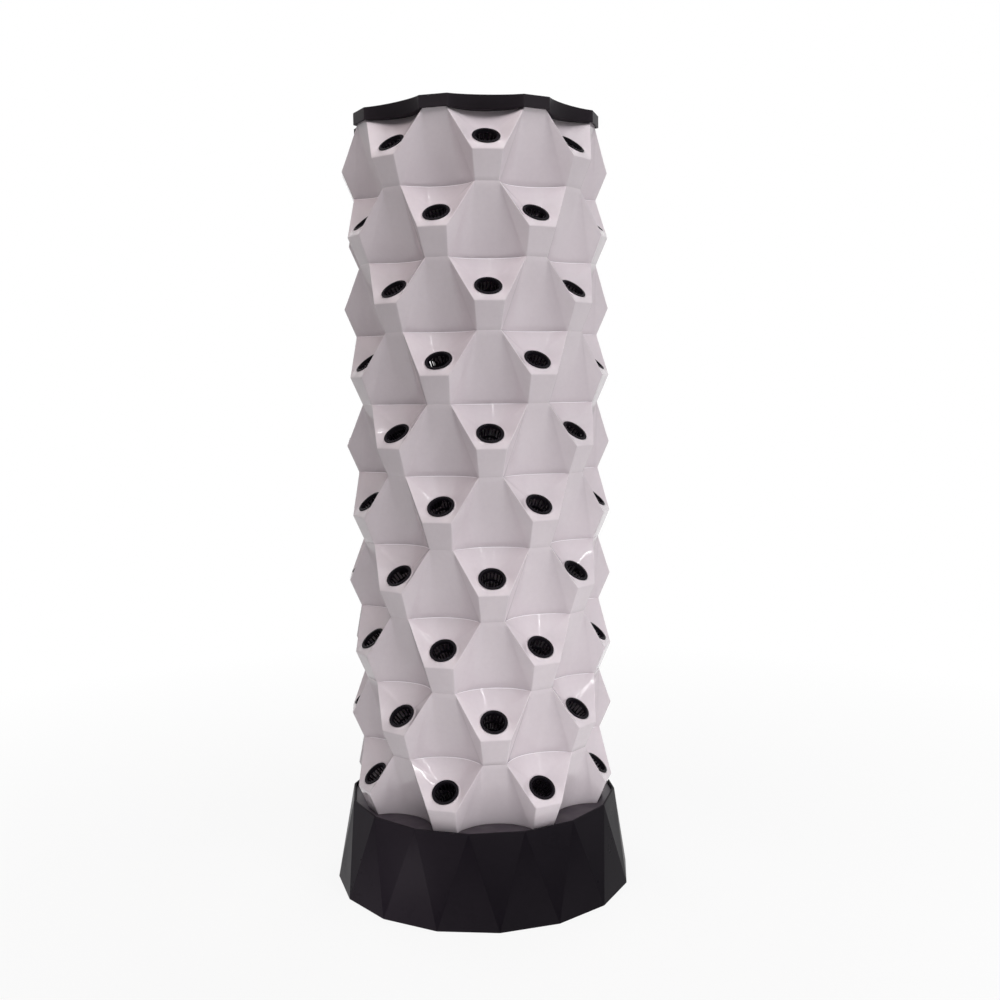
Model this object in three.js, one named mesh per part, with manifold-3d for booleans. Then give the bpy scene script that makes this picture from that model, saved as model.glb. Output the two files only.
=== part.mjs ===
// Vertical planter tower: a faceted water tank carries ten stacked planting layers
// with eighty net cups, a pump with its riser pipe, a drip tray and a scalloped cover.
// Lengths are millimetres, +Z is up, and the floor is at zero under the tank's middle.

import * as THREE from 'three';
import { mergeVertices } from 'three/addons/utils/BufferGeometryUtils.js';
import Module from 'manifold-3d';

const wasm = await Module();
wasm.setup();

// Sizes shared by all pieces
const gap = 0.3; // between pieces that touch
const slip = 0.5; // round a piece that drops into another
const overrun = 5; // how far a cutting tool runs past what it cuts
const weld = 0.01; // points nearer than this are one point

// Planting layer
const layerCount = 10;
const pocketCount = 8;
const layerPitch = 135;
const shellWall = 3;
const cornerReach = 244; // axis to a corner of the seam outline
const seamEdgeWidth = 45; // straight edge between two scallops of the seam outline
const scallopDepth = 37; // chord to the deepest point of a scallop
const scallopStepShares = [-1, -0.34, 0.34, 1]; // of the scallop's half angle
const rimStep = 5; // inner edge of a rim below its outer edge, so layers centre themselves
const lipStand = 21.5; // middle of a pocket's lip outside the corners
const lipDrop = 82;
const lipWidth = 57;
const lipInsetShare = 1.1; // of the wall, inner lip corner behind the outer one
const lipSideInsetShare = 0.45; // of the wall, inner lip corner beside the outer one

// Planting hole in a pocket
const holeInset = 4; // middle of the hole inside the corners
const holeDrop = 54.8;
const holeTilt = 40.4; // degrees between the hole's axis and the vertical
const holeSides = 8;
const holeRadius = 24;
const holeFlare = 2.5; // how much wider the hole is at its inner end
const holeDepth = 5;
const seatWidth = 5.5; // flat ring round the hole that carries the cup's flange

// Net cup
const cupSides = 8;
const flangeRadius = 26.1;
const flangeThickness = 2;
const cupTopRadius = 22.6;
const cupBottomRadius = 15.5;
const cupLength = 50;
const cupWall = 1.6;
const singleCupLayers = 4; // top layers whose cups are pieces of their own

// Water tank
const tankSides = 16;
const tankHeight = 175.5;
const tankBorder = 27.2; // rim corners outside the layers' corners
const tankFlare = 29.3; // foot corners outside the rim corners
const tankWall = 4;
const ledgeWidth = 17;
const ledgeThickness = 4;

// Deck that closes the tank
const rimStand = 7; // tank rim above the deck
const layerSink = 7; // lowest layer's outer edge below the deck
const deckFloor = 4;
const deckMouthSlip = 4; // round the lowest layer, whose walls lean out as they rise
const drainCount = 4;
const drainSides = 6;
const drainRadius = 40;
const drainReach = 105;

// Cable grommet in the back of the tank
const grommetDrop = 50; // below the tank rim
const grommetSides = 10;
const grommetBore = 3.5;
const grommetNeck = 7.7;
const grommetFlange = 12;
const grommetFlangeThickness = 2.5;

// Riser pipe and its couplings
const pipeSides = 12;
const pipeRadius = 12.5;
const pipeWall = 2;
const couplingWall = 2.7;
const couplingLength = 44;
const riserCount = 3;

// Submersible pump, with its shaft along X
const smallSides = 8; // of its shaft and feet
const pumpAxisHeight = 52;
const volutePlanSides = 16;
const voluteRadius = 33;
const voluteWall = 3;
const voluteDepth = 30;
const inletRadius = 10;
const motorLength = 66;
const motorWidth = 62;
const motorHeight = 66;
const motorCorner = 12;
const shaftRadius = 3;
const shaftDepth = 20; // into the motor housing
const hubRadius = 7;
const bladeCount = 6;
const bladeReach = 25;
const bladeWidth = 16;
const bladeThickness = 2.4;
const strainerLength = 30;
const strainerSlotCount = 4;
const strainerSlotWidth = 5;
const strainerSlotMargin = 6; // left whole at either end of a slot
const couplingClearance = 1; // between the volute and the first coupling
const footRadius = 11;
const footNeck = 5;
const footInset = 13;
const plateThickness = 3;

// Drip tray and sprinkler head
const trayThickness = 2.5;
const trayInset = 0.6; // tray edge inside the seam outline
const dishSides = 16;
const dishMargin = 24; // round the dish, to the middles of the scallops
const dishDepth = 30;
const dripSides = 6;
const dripRadius = 3;
const dripInset = 24; // from the dish's corners
const headSides = 12;
const headRadius = 30;
const headHeight = 24;
const headGrip = 14; // how deep the head sits over the riser
const headCrownShare = 0.6; // of the head's radius, flat top of the head
const riserStand = 24; // riser above the dish's floor

// Top cover
const coverRise = 21.5; // cover above the top seam
const coverOverhang = 6;
const coverSkirt = 2; // skirt below the top seam
const coverFootShare = 0.6; // depth of the cover's scallops at its foot, of the seam's
const coverTopShare = 0.27; // and at its top
const coverPlate = 3;
const coverRim = 12; // how far the solid rim reaches in from the overhang
const coverSlip = 2;

// Heights worked out from the sizes above
const deckTop = tankHeight - rimStand;
const stackStart = deckTop - layerSink;
const stackTop = stackStart + layerCount * layerPitch;
const deckSeat = stackStart - rimStep - gap;
const deckBottom = deckSeat - deckFloor;
const ledgeTop = deckBottom - gap;
const outletHeight = pumpAxisHeight + voluteRadius + couplingClearance + couplingLength / 2;
const pocketStep = 360 / pocketCount;

// Reaches worked out from the sizes above
const lipReach = cornerReach + lipStand; // axis to the middle of a pocket's lip
const holeReach = cornerReach - holeInset;
const tankRimRadius = cornerReach + tankBorder;
const tankFootRadius = tankRimRadius + tankFlare;
const couplingBore = pipeRadius + gap;
const couplingRadius = couplingBore + couplingWall;

// Finishes
const whitePlastic = { color: 0xe6dde6, roughness: 0.28, metalness: 0 };
const blackPlastic = { color: 0x1c191d, roughness: 0.35, metalness: 0 };
const cupPlastic = { color: 0x17151a, roughness: 0.5, metalness: 0 };
const pipePlastic = { color: 0xd9dbdc, roughness: 0.4, metalness: 0 };
const rubber = { color: 0x141414, roughness: 0.85, metalness: 0 };

const radians = THREE.MathUtils.degToRad;

/** A point at an angle from the front, by its reach from the axis, sideways place and height. */
function at(turn, reach, side, height) {
  const angle = radians(turn);
  return new THREE.Vector3(
    reach * Math.sin(angle) + side * Math.cos(angle),
    side * Math.sin(angle) - reach * Math.cos(angle),
    height,
  );
}

/** Points and triangles of a closed skin, gathered face by face. */
class Skin {
  constructor() {
    this.points = [];
    this.faces = [];
  }

  add(point) {
    this.points.push(point);
    return this.points.length - 1;
  }

  addLoop(points) {
    return points.map((point) => this.add(point));
  }

  face(...corners) {
    for (let i = 2; i < corners.length; i += 1) {
      this.faces.push([corners[0], corners[i - 1], corners[i]]);
    }
  }

  /** Join two closed loops of equal length, the first one outside. */
  ring(outer, inner, inside = false) {
    outer.forEach((corner, i) => {
      const next = (i + 1) % outer.length;
      const pair = [[corner, outer[next], inner[next]], [corner, inner[next], inner[i]]];
      pair.forEach((face) => this.face(...(inside ? face.reverse() : face)));
    });
  }

  /** Join two loops that are half a step apart, the upper one's corners between the lower one's. */
  zigzag(lower, upper, inside = false) {
    lower.forEach((corner, i) => {
      const next = (i + 1) % lower.length;
      const pair = [[corner, lower[next], upper[i]], [upper[i], lower[next], upper[next]]];
      pair.forEach((face) => this.face(...(inside ? face.reverse() : face)));
    });
  }

  /** Join an outer loop to an inner one of another length, walking both by their angles. */
  bridge(outer, inner, angleOf, inside = false) {
    const walk = (loop) => {
      const angles = loop.map((corner) => angleOf(this.points[corner]));
      const first = angles.indexOf(Math.min(...angles));
      return [...loop, loop[0]].map((_, i) => {
        const k = (first + i) % loop.length;
        return { corner: loop[k], angle: angles[k] + (i < loop.length ? 0 : 2 * Math.PI) };
      });
    };
    const [a, b] = [walk(outer), walk(inner)];
    let [i, j] = [0, 0];
    while (i < outer.length || j < inner.length) {
      const stepOuter = j === inner.length || (i < outer.length && a[i + 1].angle < b[j + 1].angle);
      const next = stepOuter ? a[i + 1].corner : b[j + 1].corner;
      const triangle = [a[i].corner, next, b[j].corner];
      this.face(...(inside ? triangle.reverse() : triangle));
      if (stepOuter) i += 1;
      else j += 1;
    }
  }

  /** Close a loop of any plan shape with a flat face. */
  cap(loop, under = false) {
    const plan = loop.map((corner) => this.points[corner]);
    THREE.ShapeUtils.triangulateShape(plan, []).forEach((triangle) => {
      const corners = triangle.map((i) => loop[i]);
      this.face(...(under ? corners.reverse() : corners));
    });
  }

  geometry() {
    const geometry = new THREE.BufferGeometry();
    geometry.setAttribute('position', new THREE.Float32BufferAttribute(
      this.points.flatMap((point) => point.toArray()), 3));
    geometry.setIndex(this.faces.flat());
    return geometry;
  }
}

/** Merge shared points, drop empty triangles and turn the faces outwards. */
function closed(source) {
  const bare = source.clone();
  bare.deleteAttribute('normal');
  bare.deleteAttribute('uv');
  const merged = mergeVertices(bare, weld);
  const [position, index] = [merged.getAttribute('position'), merged.getIndex()];
  const faces = [];
  let volume = 0;
  for (let i = 0; i < index.count; i += 3) {
    const face = [index.getX(i), index.getX(i + 1), index.getX(i + 2)];
    if (new Set(face).size < face.length) continue;
    faces.push(face);
    const [p, q, r] = face.map((k) => new THREE.Vector3().fromBufferAttribute(position, k));
    volume += p.dot(q.cross(r));
  }
  merged.setIndex(faces.flatMap((face) => (volume < 0 ? face.reverse() : face)));
  return merged;
}

/** Turn a closed geometry into a solid that can be cut and joined. */
function solid(source) {
  const geometry = closed(source);
  return new wasm.Manifold(new wasm.Mesh({
    numProp: 3,
    vertProperties: Float32Array.from(geometry.getAttribute('position').array),
    triVerts: Uint32Array.from(geometry.getIndex().array),
  }));
}

/** Turn a cut or joined solid back into a geometry. */
function shaped(body) {
  const mesh = body.getMesh();
  const geometry = new THREE.BufferGeometry();
  geometry.setAttribute('position', new THREE.BufferAttribute(mesh.vertProperties, 3));
  geometry.setIndex(new THREE.BufferAttribute(mesh.triVerts, 1));
  return geometry;
}

/** A turned piece about +Z from [radius, height] pairs; a hollow one closes on its first pair. */
function turned(profile, sides, hollow = false) {
  const points = profile.map(([radius, height]) => new THREE.Vector2(radius, height));
  if (hollow) points.push(points[0].clone());
  return closed(new THREE.LatheGeometry(points, sides).rotateX(Math.PI / 2));
}

/** A tube about +Z. */
function tube(outer, inner, low, high, sides) {
  return turned([[inner, low], [outer, low], [outer, high], [inner, high]], sides, true);
}

/** A rod about +Z. */
function rod(radius, low, high, sides) {
  return turned([[0, low], [radius, low], [radius, high], [0, high]], sides);
}

/** A block by its size and its middle. */
function block(size, middle) {
  return new THREE.BoxGeometry(...size).translate(...middle);
}

/** A straight prism over a plan outline. */
function prism(outline, low, high) {
  const shape = new THREE.Shape(outline.map((point) => new THREE.Vector2(point.x, point.y)));
  return new THREE.ExtrudeGeometry(shape, { depth: high - low, bevelEnabled: false })
    .translate(0, 0, low);
}

/** Corners of a regular plan outline, the first one half a step from the front if asked. */
function regular(radius, sides, halfStep, height = 0) {
  return Array.from({ length: sides }, (_, i) => (
    at((i + (halfStep ? 1 / 2 : 0)) * 360 / sides, radius, 0, height)));
}

// The scallop is an arc between two corners of the seam outline
const edgeHalfAngle = Math.asin(seamEdgeWidth / 2 / cornerReach);
const scallopHalfAngle = Math.PI / pocketCount - edgeHalfAngle;
const scallopHalfChord = cornerReach * Math.sin(scallopHalfAngle);
const scallopChordReach = cornerReach * Math.cos(scallopHalfAngle);
const scallopRadius = (scallopHalfChord ** 2 + scallopDepth ** 2) / (2 * scallopDepth);
const scallopMiddle = scallopChordReach - scallopDepth + scallopRadius;
const scallopSweep = Math.asin(scallopHalfChord / scallopRadius);

/** Points of one scallop, from left to right, set back from its arc by an inset. */
function scallop(turn, height, inset) {
  const edgeReach = Math.sqrt(cornerReach ** 2 - (seamEdgeWidth / 2) ** 2) - inset;
  const radius = scallopRadius + inset;
  const points = scallopStepShares.map((share) => {
    const angle = share * scallopSweep;
    return at(turn, scallopMiddle - radius * Math.cos(angle), radius * Math.sin(angle), height);
  });
  // the end points lie where the arc meets the straight edges beside it
  const step = Math.PI / pocketCount;
  const meet = (sign) => {
    const [a, b] = [scallopMiddle * Math.cos(step) - edgeReach, scallopMiddle * Math.sin(step)];
    const along = b - Math.sqrt(radius ** 2 - a ** 2);
    return at(turn + sign * pocketStep / 2, edgeReach, -sign * along, height);
  };
  return [meet(-1), ...points.slice(1, -1), meet(1)];
}

/** The outline of a seam, with a scallop at the turn and at every pocket step from it. */
function seamOutline(turn, height, inset) {
  return Array.from({ length: pocketCount }, (_, i) => (
    scallop(turn + i * pocketStep, height, inset))).flat();
}

/** Points of a ring in a pocket's hole plane, lifted along the hole's axis. */
function holeRing(turn, top, radius, lift) {
  const tilt = radians(holeTilt);
  return Array.from({ length: holeSides }, (_, i) => {
    const angle = (i + 1 / 2) * 2 * Math.PI / holeSides;
    const [across, up] = [radius * Math.cos(angle), radius * Math.sin(angle)];
    return at(
      turn,
      holeReach - up * Math.cos(tilt) + lift * Math.sin(tilt),
      across,
      top - holeDrop + up * Math.sin(tilt) + lift * Math.cos(tilt),
    );
  });
}

/** Angle of a point about a pocket's hole, seen from the front of the pocket. */
function angleAboutHole(turn, top) {
  const side = at(turn, 0, 1, 0);
  return (point) => Math.atan2(point.z - (top - holeDrop), point.dot(side));
}

/** One skin of a pocket: the scooped face from its rim and its lip down to a ring at its hole. */
function addPocketFace(skin, pocket, ring, inside) {
  const boundary = [...pocket.rim].reverse().concat(pocket.lip);
  skin.bridge(boundary, ring, pocket.angleOf, inside);
}

/** One skin of the valley between two pockets, folded down from its narrow top edge. */
function addValleyFace(skin, left, right, inside) {
  const foot = left.foot;
  const [topLeft, topRight] = [left.rim.at(-1), right.rim[0]];
  const half = foot.length / 2;
  const faces = [
    [topLeft, left.lip[1], ...foot.slice(0, half)],
    [topLeft, ...foot.slice(half - 1, half + 1), topRight],
    [topRight, ...foot.slice(half), right.lip[0]],
  ];
  faces.forEach((face) => skin.face(...(inside ? face.reverse() : face)));
}

/** Join a pocket's seat through its hole, and return the hole's inner ring. */
function addHole(skin, ring, seat) {
  const mouth = ring(holeRadius, 0);
  const throat = ring(holeRadius + holeFlare, -holeDepth);
  skin.ring(seat, mouth);
  skin.ring(mouth, throat);
  return throat;
}

/** Join a pocket's seat to a cup made in one with it, and return the cup's outer ring. */
function addFixedCup(skin, ring, seat) {
  const taperShare = (holeDepth + gap) / cupLength;
  const throatRadius = cupTopRadius + (cupBottomRadius - cupTopRadius) * taperShare;
  const flange = ring(cupTopRadius - cupWall, gap + flangeThickness);
  const floor = ring(cupBottomRadius - cupWall, gap + cupWall - cupLength);
  const foot = ring(cupBottomRadius, gap - cupLength);
  const throat = ring(throatRadius, -holeDepth);
  skin.ring(seat, flange);
  skin.ring(flange, floor);
  skin.face(...floor);
  skin.face(...foot.toReversed());
  skin.ring(foot, throat);
  return throat;
}

/** A planting layer: a thin shell with eight pockets, open at the top and the bottom. */
function plantingLayer(turn, bottom, withCups) {
  const skin = new Skin();
  const top = bottom + layerPitch - gap;
  const side = (inset, step) => {
    const lipIn = inset * lipInsetShare;
    const lipSide = lipWidth / 2 - inset * lipSideInsetShare;
    const pockets = Array.from({ length: pocketCount }, (_, i) => {
      const here = turn + i * pocketStep;
      return {
        angleOf: angleAboutHole(here, top),
        rim: skin.addLoop(scallop(here, top - step, inset)),
        foot: skin.addLoop(scallop(here + pocketStep / 2, bottom - step, inset)),
        lip: skin.addLoop([-lipSide, lipSide].map((across) => (
          at(here, lipReach - lipIn, across, top - lipDrop)))),
      };
    });
    return pockets;
  };
  const [outer, inner] = [side(0, 0), side(shellWall, rimStep)];
  outer.forEach((pocket, i) => {
    const here = turn + i * pocketStep;
    const next = (i + 1) % pocketCount;
    const last = (i + pocketCount - 1) % pocketCount;
    const ring = (radius, lift) => skin.addLoop(holeRing(here, top, radius, lift));
    const seat = ring(holeRadius + seatWidth, 0);
    addPocketFace(skin, pocket, seat, false);
    const throat = withCups
      ? addFixedCup(skin, ring, seat)
      : addHole(skin, ring, seat);
    addPocketFace(skin, inner[i], throat, true);
    addValleyFace(skin, pocket, outer[next], false);
    addValleyFace(skin, inner[i], inner[next], true);
    skin.face(...pocket.lip.toReversed(), outer[last].foot.at(-1), pocket.foot[0]);
    skin.face(...inner[i].lip, inner[i].foot[0], inner[last].foot.at(-1));
  });
  skin.ring(outer.flatMap((pocket) => pocket.rim), inner.flatMap((pocket) => pocket.rim));
  skin.ring(outer.flatMap((pocket) => pocket.foot), inner.flatMap((pocket) => pocket.foot), true);
  return closed(skin.geometry());
}

/** A net cup standing on its own axis, its flange's underside at zero. */
function netCup() {
  return turned([
    [0, -cupLength],
    [cupBottomRadius, -cupLength],
    [cupTopRadius, 0],
    [flangeRadius, 0],
    [flangeRadius, flangeThickness],
    [cupTopRadius - cupWall, flangeThickness],
    [cupBottomRadius - cupWall, cupWall - cupLength],
    [0, cupWall - cupLength],
  ], cupSides);
}

/** Put a cup's geometry into the hole of a pocket. */
function cupInPocket(turn, top) {
  const tilt = radians(holeTilt);
  const place = at(
    turn,
    holeReach + gap * Math.sin(tilt),
    0,
    top - holeDrop + gap * Math.cos(tilt),
  );
  return netCup()
    .rotateZ(Math.PI / cupSides)
    .rotateX(tilt)
    .rotateZ(radians(turn))
    .translate(place.x, place.y, place.z);
}

// The back facet leans; the grommet's axis is square to it
const rimFlat = tankRimRadius * Math.cos(Math.PI / tankSides);
const facetLean = Math.atan2(tankFootRadius - rimFlat, tankHeight);
const grommetReach = 2 * (ledgeWidth + tankWall);
const grommetHeight = tankHeight - grommetDrop;
const ledgeFoot = ledgeTop - ledgeThickness;
const boreFlat = (tankRimRadius - tankWall) * Math.cos(Math.PI / tankSides);
const innerLean = Math.atan2(tankFootRadius - tankWall - boreFlat, ledgeFoot - tankWall);
const grommetWall = (rimFlat + grommetDrop * Math.tan(facetLean) - boreFlat
  - (ledgeFoot - grommetHeight) * Math.tan(innerLean)) * Math.cos(innerLean);

/** Carry a piece made along +Z to the back facet, its zero lifted off the facet. */
function ontoBack(geometry, lift) {
  const reach = rimFlat + grommetDrop * Math.tan(facetLean);
  return geometry
    .rotateX(facetLean - Math.PI / 2)
    .translate(0, reach + lift * Math.cos(facetLean), grommetHeight + lift * Math.sin(facetLean));
}

/** The faceted tank: sixteen corners at its foot, and sixteen between them at its rim. */
function baseTank() {
  const skin = new Skin();
  const ring = (radius, height, halfStep) => (
    skin.addLoop(regular(radius, tankSides, halfStep, height)));
  const bore = tankRimRadius - tankWall;
  const foot = ring(tankFootRadius, 0, false);
  const rim = ring(tankRimRadius, tankHeight, true);
  const bores = [
    ring(bore, tankHeight, true),
    ring(bore, ledgeTop, true),
    ring(bore - ledgeWidth, ledgeTop, true),
    ring(bore - ledgeWidth, ledgeTop - ledgeThickness, true),
    ring(bore, ledgeTop - ledgeThickness, true),
  ];
  const floor = ring(tankFootRadius - tankWall, tankWall, false);
  skin.face(...foot.toReversed());
  skin.zigzag(foot, rim);
  [rim, ...bores.slice(0, -1)].forEach((loop, i) => skin.ring(loop, bores[i]));
  skin.zigzag(floor, bores.at(-1), true);
  skin.face(...floor);
  const hole = turned([[0, 0], [grommetNeck + gap, 0],
    [grommetNeck + gap, grommetReach], [0, grommetReach]], grommetSides);
  return shaped(solid(skin.geometry()).subtract(solid(ontoBack(hole, -grommetReach / 2))));
}

/** The grommet that lines the cable hole, a flange outside the facet and one inside. */
function cableGrommet() {
  const inner = grommetNeck + grommetFlangeThickness;
  const thickness = grommetWall + gap + inner * Math.tan(innerLean - facetLean);
  const profile = [
    [grommetBore, grommetFlangeThickness + gap],
    [grommetBore, -thickness - grommetFlangeThickness],
    [inner, -thickness - grommetFlangeThickness],
    [inner, -thickness],
    [grommetNeck, -thickness],
    [grommetNeck, gap],
    [grommetFlange, gap],
    [grommetFlange, grommetFlangeThickness + gap],
  ];
  return ontoBack(turned(profile, grommetSides, true), 0);
}

/** The deck: a plate on the tank's ledge, with a scalloped seat for the lowest layer. */
function tankDeck() {
  const outline = regular(tankRimRadius - tankWall - slip, tankSides, true);
  const turn = pocketStep / 2 * layerCount;
  const seat = seamOutline(turn, 0, -slip);
  const mouth = seamOutline(turn, 0, -deckMouthSlip);
  let body = solid(prism(outline, deckBottom, deckTop))
    .subtract(solid(prism(seat, deckSeat, deckTop + overrun)))
    .subtract(solid(prism(mouth, stackStart - gap, deckTop + overrun)));
  const hole = (radius, reach, turn, sides) => {
    const place = at(turn, reach, 0, 0);
    const tool = rod(radius, deckBottom - overrun, deckSeat + overrun, sides);
    return solid(tool.translate(place.x, place.y, 0));
  };
  body = body.subtract(hole(couplingRadius + slip, 0, 0, pipeSides));
  for (let i = 0; i < drainCount; i += 1) {
    body = body.subtract(hole(drainRadius, drainReach, (i + 1 / 2) * 360 / drainCount, drainSides));
  }
  return shaped(body);
}

/** Turn a piece made along +Z so that it runs along +X at the pump's shaft. */
function alongShaft(geometry) {
  return geometry.rotateY(Math.PI / 2).translate(0, 0, pumpAxisHeight);
}

/** The volute: a round chamber open to the front, with the outlet standing on it. */
function pumpVolute() {
  const half = voluteDepth / 2;
  const chamber = voluteRadius - voluteWall;
  const outletLow = pumpAxisHeight + chamber - voluteWall;
  let body = solid(alongShaft(rod(voluteRadius, -half, half, volutePlanSides)))
    .add(solid(rod(pipeRadius, outletLow, outletHeight, pipeSides)));
  body = body
    .subtract(solid(alongShaft(rod(chamber, -half - overrun, half - voluteWall, volutePlanSides))))
    .subtract(solid(rod(pipeRadius - pipeWall, pumpAxisHeight, outletHeight + overrun, pipeSides)))
    .subtract(solid(alongShaft(rod(shaftRadius + slip, 0, half + overrun, pipeSides))));
  return shaped(body);
}

/** The cover of the volute, with the inlet in its middle. */
function voluteCover() {
  const back = -voluteDepth / 2 - gap;
  return alongShaft(tube(voluteRadius, inletRadius, back - voluteWall, back, volutePlanSides));
}

/** The sealed motor housing behind the volute. */
function motorHousing() {
  const front = voluteDepth / 2 + gap;
  const [w, h, c] = [motorWidth / 2, motorHeight / 2, motorCorner];
  const outline = [[w, h - c], [w - c, h], [c - w, h], [-w, h - c],
    [-w, c - h], [c - w, -h], [w - c, -h], [w, c - h]]
    .map(([across, up]) => new THREE.Vector3(-up, across, 0));
  const bore = rod(shaftRadius + slip, front - overrun, front + shaftDepth + gap, pipeSides);
  return shaped(solid(alongShaft(prism(outline, front, front + motorLength)))
    .subtract(solid(alongShaft(bore))));
}

/** The impeller: hub, blades and the shaft that runs into the motor. */
function pumpImpeller() {
  const front = -voluteDepth / 2 + slip;
  let body = solid(alongShaft(rod(hubRadius, front, front + bladeWidth, pipeSides)))
    .add(solid(alongShaft(rod(shaftRadius, front, voluteDepth / 2 + shaftDepth, smallSides))));
  for (let i = 0; i < bladeCount / 2; i += 1) {
    const blade = block([bladeWidth, bladeThickness, 2 * bladeReach], [0, 0, 0])
      .rotateX(i * 2 * Math.PI / bladeCount)
      .translate(front + bladeWidth / 2, 0, pumpAxisHeight);
    body = body.add(solid(blade));
  }
  return shaped(body);
}

/** The slotted strainer in front of the volute cover. */
function pumpStrainer() {
  const back = -voluteDepth / 2 - voluteWall - 2 * gap;
  const front = back - strainerLength;
  let body = solid(alongShaft(rod(voluteRadius, front, back, volutePlanSides)))
    .subtract(solid(alongShaft(
      rod(voluteRadius - voluteWall, front + voluteWall, back + overrun, volutePlanSides))));
  const slotLength = strainerLength - 2 * strainerSlotMargin;
  for (let i = 0; i < strainerSlotCount; i += 1) {
    const slot = block([slotLength, strainerSlotWidth, 2 * (voluteRadius + overrun)], [0, 0, 0])
      .rotateX((i + 1 / 2) * Math.PI / strainerSlotCount)
      .translate((front + back) / 2, 0, pumpAxisHeight);
    body = body.subtract(solid(slot));
  }
  return shaped(body);
}

/** The pump's base plate, with four suction feet under it. */
function pumpBasePlate() {
  const low = tankWall + gap;
  const high = pumpAxisHeight - motorHeight / 2 - gap;
  const under = high - plateThickness;
  const foot = [[0, low], [footRadius, low], [footNeck, (low + under) / 2],
    [footNeck, high], [0, high]];
  const front = voluteDepth / 2 + gap;
  const middle = front + motorLength / 2;
  let body = solid(block(
    [motorLength, motorWidth - 2 * footInset + 2 * footNeck, plateThickness],
    [middle, 0, high - plateThickness / 2],
  ));
  [-1, 1].forEach((end) => [-1, 1].forEach((side) => {
    const place = [middle + end * (motorLength / 2 - footInset), side * (motorWidth / 2 - footInset)];
    body = body.add(solid(turned(foot, smallSides).translate(...place, 0)));
  }));
  return shaped(body);
}

// The riser runs from the pump's outlet to the sprinkler head
const dishFloor = stackTop + trayThickness - dishDepth;
const riserTop = dishFloor + riserStand;
const riserStart = outletHeight + gap;
const riserLength = (riserTop - riserStart - (riserCount - 1) * gap) / riserCount;

/** One length of the riser pipe. */
function riserPipe(number) {
  const low = riserStart + number * (riserLength + gap);
  return tube(pipeRadius, pipeRadius - pipeWall, low, low + riserLength, pipeSides);
}

/** The coupling under a length of the riser pipe. */
function riserCoupling(number) {
  const middle = riserStart + number * (riserLength + gap) - gap / 2;
  const half = couplingLength / 2;
  return tube(couplingRadius, couplingBore, middle - half, middle + half, pipeSides);
}

// The dish hangs inside the scallops
const dishRadius = scallopChordReach - scallopDepth - dishMargin;
const dripReach = dishRadius - dripInset;

/** The drip tray: a scalloped plate on the top layer's rim with a dish hung from it. */
function dripTray() {
  const low = stackTop;
  const plate = solid(prism(seamOutline(0, 0, trayInset), low, low + trayThickness))
    .subtract(solid(rod(dishRadius - trayThickness, low - overrun, low + overrun, dishSides)));
  const bottom = dishFloor - trayThickness;
  const bore = pipeRadius + slip;
  const dish = solid(tube(dishRadius, bore, bottom, low + trayThickness, dishSides))
    .subtract(solid(tube(dishRadius - trayThickness, bore - overrun,
      bottom + trayThickness, low + trayThickness + overrun, dishSides)));
  let body = plate.add(dish);
  for (let i = 0; i < 2 * pocketCount; i += 1) {
    const place = at(i * pocketStep / 2, dripReach, 0, 0);
    const drip = rod(dripRadius, bottom - overrun, bottom + trayThickness + overrun, dripSides);
    body = body.subtract(solid(drip.translate(place.x, place.y, 0)));
  }
  return shaped(body);
}

/** The mushroom head that throws the water out over the tray. */
function sprinklerHead() {
  const low = riserTop - headGrip;
  return turned([
    [0, riserTop + gap],
    [couplingBore, riserTop + gap],
    [couplingBore, low],
    [couplingRadius, low],
    [couplingRadius, riserTop],
    [headRadius, riserTop + gap],
    [headRadius * headCrownShare, low + headHeight],
    [0, low + headHeight],
  ], headSides);
}

/** An outline of the cover, with its scallops a share as deep as the seam's. */
function coverOutline(share, height) {
  return Array.from({ length: pocketCount }, (_, i) => {
    const points = scallop(i * pocketStep, height, -coverOverhang);
    const chord = new THREE.Line3(points[0], points.at(-1));
    return points.map((point) => (
      chord.closestPointToPoint(point, true, new THREE.Vector3()).lerp(point, share)));
  }).flat();
}

/** The scalloped cover: a plate with a solid rim that sits on the tray and a thin skirt. */
function topCover() {
  const foot = stackTop - coverSkirt;
  const top = stackTop + coverRise;
  const seat = stackTop + trayThickness + gap;
  const plan = (inset) => seamOutline(0, 0, inset);
  const skin = new Skin();
  const low = skin.addLoop(coverOutline(coverFootShare, foot));
  const high = skin.addLoop(coverOutline(coverTopShare, top));
  skin.cap(low, true);
  skin.ring(low, high);
  skin.cap(high);
  return shaped(solid(skin.geometry())
    .subtract(solid(prism(plan(coverRim - coverOverhang), seat - overrun, top - coverPlate)))
    .subtract(solid(prism(plan(-coverSlip), foot - overrun, seat))));
}

const tower = new THREE.Group();

/** Add a named piece in its finish. */
function addPiece(name, geometry, finish) {
  const mesh = new THREE.Mesh(geometry, new THREE.MeshStandardMaterial(finish));
  mesh.name = name;
  tower.add(mesh);
}

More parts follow.
